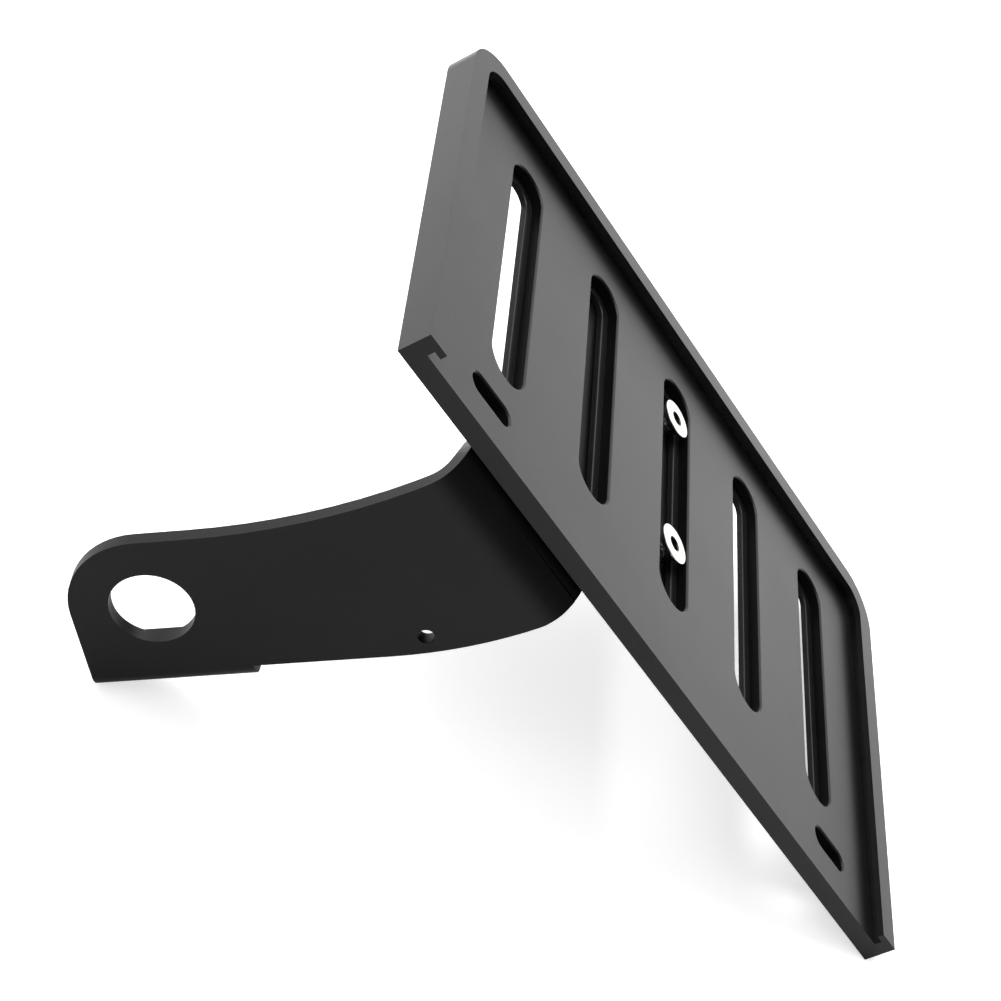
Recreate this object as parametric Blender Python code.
"""Side mount licence plate holder for a motorcycle, in metres.

A milled aluminium tray takes the plate, and a folded steel arm carries the
tray from the wheel axle. Two countersunk screws pass through the tray's middle
slot and the arm's flange, with a washer and a nut behind each.

Everything is modelled in the tray's own axes: X runs along the tray's length,
Y from its open edge to its closed edge and Z out of its front. One empty then
sets the assembly down as it lies on a table, on the foot of the arm's tab and
on the back edge of the tray's far end.
"""

import math

import bmesh
import bpy
from mathutils import Vector

# Tray
TRAY_LENGTH = 0.187
TRAY_HEIGHT = 0.1169
TRAY_THICKNESS = 0.0073
FLOOR_THICKNESS = 0.0042
CORNER_RADIUS = 0.0117
WALL = 0.0036
LIP_REACH = 0.00186
LIP_THICKNESS = 0.0015

# Long slots, stepped so that a countersunk head sinks below the floor
SLOT_COUNT = 5
SLOT_PITCH = 0.0327
SLOT_WIDTH = 0.0114
SLOT_BOTTOM = 0.0227
SLOT_LENGTH = 0.0765
THROUGH_WIDTH = 0.007
LEDGE_THICKNESS = 0.0014

# Short slots beside the open edge
SHORT_SLOT_INSET = 0.0241
SHORT_SLOT_RISE = 0.0113
SHORT_SLOT_LENGTH = 0.0129
SHORT_SLOT_WIDTH = 0.005

# Countersunk screws with a hexagon socket
SCREW_DIAMETER = 0.005
SCREW_LENGTH = 0.016
SCREW_TIP_CHAMFER = 0.0006
HEAD_DIAMETER = 0.0094
HEAD_LAND = 0.00045
SOCKET_WIDTH = 0.003
SOCKET_DEPTH = 0.0019
LOWER_SCREW_RISE = 0.0428
SCREW_SPACING = 0.045
SCREW_SIDE_SHIFT = 0.0005

# Washers and nuts behind the flange
WASHER_DIAMETER = 0.010
WASHER_THICKNESS = 0.001
NUT_WIDTH = 0.008
NUT_HEIGHT = 0.0047
NUT_CHAMFER = 0.0005

# Gap that neighbouring pieces keep, and clearance of a hole round a screw
SEAT_GAP = 0.0003
HOLE_CLEARANCE = 0.0003

# Arm: one plate folded twice
ARM_THICKNESS = 0.003
ARM_STAND_OFF = 0.006
FLANGE_BEND_RADIUS = 0.009
AXLE_HOLE_DIAMETER = 0.0172
AXLE_HOLE_DROP = 0.0735
AXLE_HOLE_SIDE = 0.0695
HEAD_RADIUS = 0.0166
HEAD_LEAN = math.radians(23.4)
NECK_LEFT = 0.0687
NECK_WIDTH = 0.0403
OUTER_SWEEP_RADIUS = 0.145
INNER_SWEEP_RADIUS = 0.098

# Foot of the arm, a tab folded away under the axle hole
TAB_BEND_RADIUS = 0.004
TAB_DEPTH = 0.0147
TAB_REACH = 0.0169
TAB_CORNER_RADIUS = 0.002

# Small hole near the arm's lower edge
CABLE_HOLE_DIAMETER = 0.0035
CABLE_HOLE_SIDE = 0.0375
CABLE_HOLE_DROP = 0.0299

# Flange behind the tray
FLANGE_LEFT = 0.037
FLANGE_RIGHT = 0.011
FLANGE_TOP_MARGIN = 0.0205
DOGLEG_START = 0.0032
DOGLEG_LEFT_LEAN = math.radians(46.0)
DOGLEG_RIGHT_LEAN = math.radians(50.0)
DOGLEG_RADIUS = 0.020
SHOULDER_RADIUS = 0.015
FLANGE_CORNER_RADIUS = 0.008

# Fineness of round stretches
ARC_STEP = math.radians(6.0)
LONG_ARC_STEP = math.radians(2.5)
BEND_STEPS = 10
TAB_BEND_STEPS = 6
ROUND_SEGMENTS = 36
AXLE_HOLE_SEGMENTS = 64
CUT_MARGIN = 0.001

# Places worked out from the sizes above
LIP_INSET = WALL + LIP_REACH
GROOVE_TOP = TRAY_THICKNESS - LIP_THICKNESS
SLOT_MIDDLE = TRAY_LENGTH / 2
SCREW_X = SLOT_MIDDLE + SCREW_SIDE_SHIFT
SCREW_RISES = (LOWER_SCREW_RISE, LOWER_SCREW_RISE + SCREW_SPACING)
HEAD_RADIUS_AT_SEAT = THROUGH_WIDTH / 2 - SCREW_SIDE_SHIFT
HEAD_TOP = (
    LEDGE_THICKNESS
    + HEAD_LAND
    + (HEAD_DIAMETER / 2 - HEAD_RADIUS_AT_SEAT)
    + SEAT_GAP * math.sqrt(2.0)
)
FLANGE_FRONT = -SEAT_GAP
WASHER_FRONT = FLANGE_FRONT - ARM_THICKNESS - SEAT_GAP
NUT_FRONT = WASHER_FRONT - WASHER_THICKNESS - SEAT_GAP
HOLE_RADIUS = SCREW_DIAMETER / 2 + HOLE_CLEARANCE

ARM_FACE_Y = -ARM_STAND_OFF
FLANGE_BEND_START = FLANGE_FRONT - FLANGE_BEND_RADIUS
FLANGE_BEND_LENGTH = FLANGE_BEND_RADIUS * math.pi / 2
FLANGE_FLAT_START_Y = ARM_FACE_Y + FLANGE_BEND_RADIUS
TAB_BEND_LENGTH = TAB_BEND_RADIUS * math.pi / 2
TAB_END = HEAD_RADIUS + TAB_BEND_LENGTH + TAB_DEPTH - TAB_BEND_RADIUS

AXLE = Vector((SCREW_X - AXLE_HOLE_SIDE, -AXLE_HOLE_DROP))
ALONG = Vector((math.sin(HEAD_LEAN), math.cos(HEAD_LEAN)))
ACROSS = Vector((math.cos(HEAD_LEAN), -math.sin(HEAD_LEAN)))


def clear_scene():
    """Remove whatever the scene holds."""
    for obj in list(bpy.data.objects):
        bpy.data.objects.remove(obj, do_unlink=True)


def make_material(name, colour, metallic, roughness):
    """Return a Principled material of one colour."""
    material = bpy.data.materials.new(name)
    material.use_nodes = True
    shader = material.node_tree.nodes["Principled BSDF"]
    shader.inputs["Base Color"].default_value = (*colour, 1.0)
    shader.inputs["Metallic"].default_value = metallic
    shader.inputs["Roughness"].default_value = roughness
    return material


def add_object(name, bm, material=None, parent=None):
    """Turn a bmesh into an object, with round faces smooth and edges sharp."""
    mesh = bpy.data.meshes.new(name)
    bm.to_mesh(mesh)
    bm.free()
    mesh.shade_smooth()
    mesh.set_sharp_from_angle(angle=math.radians(30.0))
    obj = bpy.data.objects.new(name, mesh)
    bpy.context.collection.objects.link(obj)
    obj.parent = parent
    if material is not None:
        mesh.materials.append(material)
    return obj


def add_boolean(target, cutter, operation="DIFFERENCE"):
    """Combine a target with a helper solid, which stays out of the render."""
    cutter.hide_render = True
    cutter.display_type = "WIRE"
    modifier = target.modifiers.new(cutter.name, "BOOLEAN")
    modifier.operation = operation
    modifier.object = cutter


def rounded_outline(corners):
    """Return the points of a polygon whose corners (point, radius) are filleted."""
    points = []
    for index, (corner, radius) in enumerate(corners):
        corner = Vector(corner)
        if radius == 0.0:
            points.append(corner)
            continue
        before = (Vector(corners[index - 1][0]) - corner).normalized()
        after = (Vector(corners[(index + 1) % len(corners)][0]) - corner).normalized()
        turn = math.pi - before.angle(after)
        middle = corner + (before + after).normalized() * radius / math.cos(turn / 2)
        start = corner + before * radius * math.tan(turn / 2) - middle
        side = math.copysign(1.0, before.x * after.y - before.y * after.x)
        step = ARC_STEP if radius < HEAD_RADIUS * 2 else LONG_ARC_STEP
        count = max(2, math.ceil(turn / step))
        for number in range(count + 1):
            angle = -side * turn * number / count
            cosine = math.cos(angle)
            sine = math.sin(angle)
            points.append(
                middle + Vector((start.x * cosine - start.y * sine, start.x * sine + start.y * cosine))
            )
    return points


def prism(name, points, bottom, top, parent, material=None):
    """Extrude a flat outline from one height to another."""
    bm = bmesh.new()
    face = bm.faces.new([bm.verts.new((point.x, point.y, bottom)) for point in points])
    grown = bmesh.ops.extrude_face_region(bm, geom=[face])
    raised = [item for item in grown["geom"] if isinstance(item, bmesh.types.BMVert)]
    bmesh.ops.translate(bm, verts=raised, vec=(0.0, 0.0, top - bottom))
    bmesh.ops.recalc_face_normals(bm, faces=bm.faces)
    return add_object(name, bm, material, parent)


def turned(name, profile, segments, parent, material=None):
    """Revolve a closed profile of (radius, height) points about Z."""
    bm = bmesh.new()
    verts = [bm.verts.new((radius, 0.0, height)) for radius, height in profile]
    edges = [bm.edges.new((vert, verts[index - 1])) for index, vert in enumerate(verts)]
    bmesh.ops.spin(
        bm,
        geom=verts + edges,
        cent=(0.0, 0.0, 0.0),
        axis=(0.0, 0.0, 1.0),
        angle=2 * math.pi,
        steps=segments,
        use_merge=True,
    )
    bmesh.ops.remove_doubles(bm, verts=bm.verts, dist=1e-6)
    bmesh.ops.recalc_face_normals(bm, faces=bm.faces)
    return add_object(name, bm, material, parent)


def hexagon(width):
    """Return the corners of a hexagon of a given width across its flats."""
    radius = width / math.sqrt(3.0)
    angles = [math.radians(60.0 * number) for number in range(6)]
    return [Vector((radius * math.cos(angle), radius * math.sin(angle))) for angle in angles]


def circle(centre, radius, segments):
    """Return the corners of a many-sided circle."""
    angles = [2 * math.pi * number / segments for number in range(segments)]
    return [
        Vector((centre[0] + radius * math.cos(angle), centre[1] + radius * math.sin(angle)))
        for angle in angles
    ]


def obround(left, right, bottom, top):
    """Return the outline of a slot with round ends."""
    radius = min(right - left, top - bottom) / 2
    corners = [(left, bottom), (right, bottom), (right, top), (left, top)]
    return rounded_outline([(corner, radius * 0.9999) for corner in corners])


def tray_outline(inset, overrun):
    """Return the tray's outline moved inwards, with its open edge moved outwards."""
    radius = CORNER_RADIUS - inset
    return rounded_outline(
        [
            ((inset, -overrun), 0.0),
            ((TRAY_LENGTH - inset, -overrun), 0.0),
            ((TRAY_LENGTH - inset, TRAY_HEIGHT - inset), radius),
            ((inset, TRAY_HEIGHT - inset), radius),
        ]
    )


def slot_outline(middle, inset):
    """Return a long slot's outline, moved inwards for the part that goes through."""
    half = SLOT_WIDTH / 2 - inset
    bottom = SLOT_BOTTOM + inset
    top = SLOT_BOTTOM + SLOT_LENGTH - inset
    return obround(middle - half, middle + half, bottom, top)


def build_tray(parent):
    """Mill the tray: a block with a lipped recess and stepped slots in its floor."""
    black = make_material("black_anodised_aluminium", (0.03, 0.03, 0.032), 0.6, 0.42)
    tray = prism("plate_frame", tray_outline(0.0, 0.0), 0.0, TRAY_THICKNESS, parent, black)
    inside = (FLOOR_THICKNESS + GROOVE_TOP) / 2
    above = TRAY_THICKNESS + CUT_MARGIN
    groove = tray_outline(WALL, CUT_MARGIN)
    mouth = tray_outline(LIP_INSET, CUT_MARGIN)
    add_boolean(tray, prism("cut_groove", groove, FLOOR_THICKNESS, GROOVE_TOP, parent))
    add_boolean(tray, prism("cut_mouth", mouth, inside, above, parent))
    ledge = (SLOT_WIDTH - THROUGH_WIDTH) / 2
    for number in range(SLOT_COUNT):
        middle = SLOT_MIDDLE + SLOT_PITCH * (number - (SLOT_COUNT - 1) / 2)
        sunk = slot_outline(middle, 0.0)
        through = slot_outline(middle, ledge)
        add_boolean(tray, prism(f"cut_sunk_{number}", sunk, LEDGE_THICKNESS, inside, parent))
        add_boolean(
            tray, prism(f"cut_through_{number}", through, -CUT_MARGIN, FLOOR_THICKNESS, parent)
        )
    for side, middle in (("left", SHORT_SLOT_INSET), ("right", TRAY_LENGTH - SHORT_SLOT_INSET)):
        outline = obround(
            middle - SHORT_SLOT_LENGTH / 2,
            middle + SHORT_SLOT_LENGTH / 2,
            SHORT_SLOT_RISE - SHORT_SLOT_WIDTH / 2,
            SHORT_SLOT_RISE + SHORT_SLOT_WIDTH / 2,
        )
        add_boolean(tray, prism(f"cut_short_{side}", outline, -CUT_MARGIN, inside, parent))
    return tray


def crossing(side_x, offset):
    """Return where the arm's slanted edge at an offset from the axle meets x = side_x."""
    point = AXLE + ACROSS * offset
    return point + ALONG * (side_x - point.x) / ALONG.x


def flange_height(y):
    """Return the unfolded height of a point of the flange at a given Y."""
    return FLANGE_BEND_START + FLANGE_BEND_LENGTH + y - FLANGE_FLAT_START_Y


def blank_outline():
    """Return the outline of the arm's flat blank, counter-clockwise in X and Z."""
    neck_left = SCREW_X - NECK_LEFT
    neck_right = neck_left + NECK_WIDTH
    left = SCREW_X - FLANGE_LEFT
    right = SCREW_X + FLANGE_RIGHT
    top = flange_height(SCREW_RISES[1] + FLANGE_TOP_MARGIN)
    turn_off = flange_height(FLANGE_FLAT_START_Y + DOGLEG_START)
    left_shoulder = turn_off + (left - neck_left) / math.tan(DOGLEG_LEFT_LEAN)
    right_shoulder = turn_off + (right - neck_right) / math.tan(DOGLEG_RIGHT_LEAN)
    tab_left = AXLE - ALONG * HEAD_RADIUS
    tab_right = AXLE + ALONG * TAB_REACH
    return rounded_outline(
        [
            (tab_left - ACROSS * HEAD_RADIUS, HEAD_RADIUS),
            (tab_left + ACROSS * TAB_END, TAB_CORNER_RADIUS),
            (tab_right + ACROSS * TAB_END, TAB_CORNER_RADIUS),
            (tab_right + ACROSS * HEAD_RADIUS, 0.0),
            (crossing(neck_right, HEAD_RADIUS), INNER_SWEEP_RADIUS),
            ((neck_right, turn_off), DOGLEG_RADIUS),
            ((right, right_shoulder), SHOULDER_RADIUS),
            ((right, top), FLANGE_CORNER_RADIUS),
            ((left, top), FLANGE_CORNER_RADIUS),
            ((left, left_shoulder), SHOULDER_RADIUS),
            ((neck_left, turn_off), DOGLEG_RADIUS),
            (crossing(neck_left, -HEAD_RADIUS), OUTER_SWEEP_RADIUS),
        ]
    )


def score(bm, faces, point, direction):
    """Divide the blank along a fold line through a point, across a direction."""
    geom = list(faces)
    geom += {edge for face in faces for edge in face.edges}
    geom += {vert for face in faces for vert in face.verts}
    bmesh.ops.bisect_plane(
        bm,
        geom=geom,
        dist=1e-7,
        plane_co=(point.x, ARM_FACE_Y, point.y),
        plane_no=(direction.x, 0.0, direction.y),
    )


def fold_flange(vert):
    """Fold a point of the blank beyond the flange's bend line."""
    run = vert.co.z - FLANGE_BEND_START
    angle = min(run / FLANGE_BEND_RADIUS, math.pi / 2)
    flat = max(run - FLANGE_BEND_LENGTH, 0.0)
    vert.co.y = ARM_FACE_Y + FLANGE_BEND_RADIUS * (1.0 - math.cos(angle)) + flat
    vert.co.z = FLANGE_BEND_START + FLANGE_BEND_RADIUS * math.sin(angle)


def fold_tab(vert):
    """Fold a point of the blank beyond the tab's bend line."""
    place = Vector((vert.co.x, vert.co.z))
    run = (place - AXLE).dot(ACROSS) - HEAD_RADIUS
    angle = min(run / TAB_BEND_RADIUS, math.pi / 2)
    flat = max(run - TAB_BEND_LENGTH, 0.0)
    place += ACROSS * (TAB_BEND_RADIUS * math.sin(angle) - run)
    vert.co = (place.x, ARM_FACE_Y + TAB_BEND_RADIUS * (1.0 - math.cos(angle)) + flat, place.y)


def build_arm(parent):
    """Cut the arm's blank, fold its flange and its tab, and drill it."""
    steel = make_material("black_powder_coated_steel", (0.018, 0.018, 0.018), 0.0, 0.55)
    outline = blank_outline()
    bm = bmesh.new()
    bm.faces.new([bm.verts.new((point.x, ARM_FACE_Y, point.y)) for point in outline])

    bend_end = FLANGE_BEND_START + FLANGE_BEND_LENGTH
    lines = {FLANGE_BEND_START + FLANGE_BEND_LENGTH * n / BEND_STEPS for n in range(BEND_STEPS + 1)}
    lines |= {point.y for point in outline if FLANGE_BEND_START < point.y < bend_end}
    for height in sorted(lines):
        score(bm, bm.faces[:], Vector((0.0, height)), Vector((0.0, 1.0)))
    for number in range(TAB_BEND_STEPS + 1):
        offset = HEAD_RADIUS + TAB_BEND_LENGTH * number / TAB_BEND_STEPS
        below = [f for f in bm.faces if f.calc_center_median().z < FLANGE_BEND_START]
        score(bm, below, AXLE + ACROSS * offset, ACROSS)

    for vert in bm.verts:
        across = (Vector((vert.co.x, vert.co.z)) - AXLE).dot(ACROSS)
        if vert.co.z > FLANGE_BEND_START:
            fold_flange(vert)
        elif across > HEAD_RADIUS:
            fold_tab(vert)

    arm = add_object("mounting_arm", bm, steel, parent)
    plate = arm.modifiers.new("plate", "SOLIDIFY")
    plate.thickness = ARM_THICKNESS
    plate.offset = -1.0
    plate.use_even_offset = True

    hole = CABLE_HOLE_DIAMETER / 2
    cable_hole = (SCREW_X - CABLE_HOLE_SIDE, -CABLE_HOLE_DROP)
    for name, centre, radius, segments in (
        ("cut_axle", AXLE, AXLE_HOLE_DIAMETER / 2, AXLE_HOLE_SEGMENTS),
        ("cut_cable", Vector(cable_hole), hole, ROUND_SEGMENTS),
    ):
        depth = ARM_THICKNESS + CUT_MARGIN
        drill = prism(name, circle((0.0, 0.0), radius, segments), -CUT_MARGIN, depth, parent)
        drill.location = (centre.x, ARM_FACE_Y, centre.y)
        drill.rotation_euler = (-math.pi / 2, 0.0, 0.0)
        add_boolean(arm, drill)
    back = FLANGE_FRONT - ARM_THICKNESS
    for number, rise in enumerate(SCREW_RISES):
        outline = circle((SCREW_X, rise), HOLE_RADIUS, ROUND_SEGMENTS)
        drill = prism(f"cut_screw_{number}", outline, back - CUT_MARGIN, CUT_MARGIN, parent)
        add_boolean(arm, drill)
    return arm


def build_screw(name, rise, parent, material):
    """Turn a countersunk screw and sink its hexagon socket."""
    head = HEAD_DIAMETER / 2
    shank = SCREW_DIAMETER / 2
    tip = -SCREW_LENGTH
    profile = [
        (0.0, 0.0),
        (head, 0.0),
        (head, -HEAD_LAND),
        (shank, -HEAD_LAND - (head - shank)),
        (shank, tip + SCREW_TIP_CHAMFER),
        (shank - SCREW_TIP_CHAMFER, tip),
        (0.0, tip),
    ]
    screw = turned(name, profile, ROUND_SEGMENTS, parent, material)
    screw.location = (SCREW_X, rise, HEAD_TOP)
    socket = prism(f"cut_socket_{name}", hexagon(SOCKET_WIDTH), -SOCKET_DEPTH, CUT_MARGIN, screw)
    add_boolean(screw, socket)
    return screw


def build_washer(name, rise, parent, material):
    """Turn a plain washer."""
    rim = WASHER_DIAMETER / 2
    profile = [
        (HOLE_RADIUS, 0.0),
        (rim, 0.0),
        (rim, -WASHER_THICKNESS),
        (HOLE_RADIUS, -WASHER_THICKNESS),
    ]
    washer = turned(name, profile, ROUND_SEGMENTS, parent, material)
    washer.location = (SCREW_X, rise, WASHER_FRONT)
    return washer


def build_nut(name, rise, parent, material):
    """Turn a blank with both rims chamfered and a bore, and mill its six flats."""
    corner = NUT_WIDTH / math.sqrt(3.0) * 1.02
    slope = NUT_CHAMFER / math.tan(math.radians(60.0))
    profile = [
        (HOLE_RADIUS, 0.0),
        (corner - NUT_CHAMFER, 0.0),
        (corner, -slope),
        (corner, slope - NUT_HEIGHT),
        (corner - NUT_CHAMFER, -NUT_HEIGHT),
        (HOLE_RADIUS, -NUT_HEIGHT),
    ]
    nut = turned(name, profile, ROUND_SEGMENTS, parent, material)
    nut.location = (SCREW_X, rise, NUT_FRONT)
    low = -NUT_HEIGHT - CUT_MARGIN
    flats = prism(f"flats_{name}", hexagon(NUT_WIDTH), low, CUT_MARGIN, nut)
    add_boolean(nut, flats, "INTERSECT")
    return nut


def set_down(stand, pieces):
    """Rest the assembly on the ground, with its origin under the middle of its box."""
    foot = AXLE - ALONG * HEAD_RADIUS + ACROSS * (HEAD_RADIUS + TAB_BEND_RADIUS)
    stand.rotation_euler = (0.0, math.atan2(-foot.y, TRAY_LENGTH - foot.x), 0.0)
    bpy.context.view_layer.update()
    depsgraph = bpy.context.evaluated_depsgraph_get()
    points = []
    for piece in pieces:
        evaluated = piece.evaluated_get(depsgraph)
        points += [piece.matrix_world @ vert.co for vert in evaluated.data.vertices]
    low = [min(point[axis] for point in points) for axis in range(3)]
    high = [max(point[axis] for point in points) for axis in range(3)]
    stand.location = (-(low[0] + high[0]) / 2, -(low[1] + high[1]) / 2, -low[2])
    bpy.context.view_layer.update()


def main():
    """Build the holder."""
    clear_scene()
    stand = bpy.data.objects.new("stand", None)
    bpy.context.collection.objects.link(stand)
    bright = make_material("bright_stainless_steel", (0.62, 0.62, 0.63), 1.0, 0.25)
    zinc = make_material("zinc_plated_steel", (0.52, 0.52, 0.54), 1.0, 0.38)
    pieces = [build_tray(stand), build_arm(stand)]
    for place, rise in zip(("lower", "upper"), SCREW_RISES):
        pieces.append(build_screw(f"{place}_screw", rise, stand, bright))
        pieces.append(build_washer(f"{place}_washer", rise, stand, zinc))
        pieces.append(build_nut(f"{place}_nut", rise, stand, zinc))
    set_down(stand, pieces)


main()
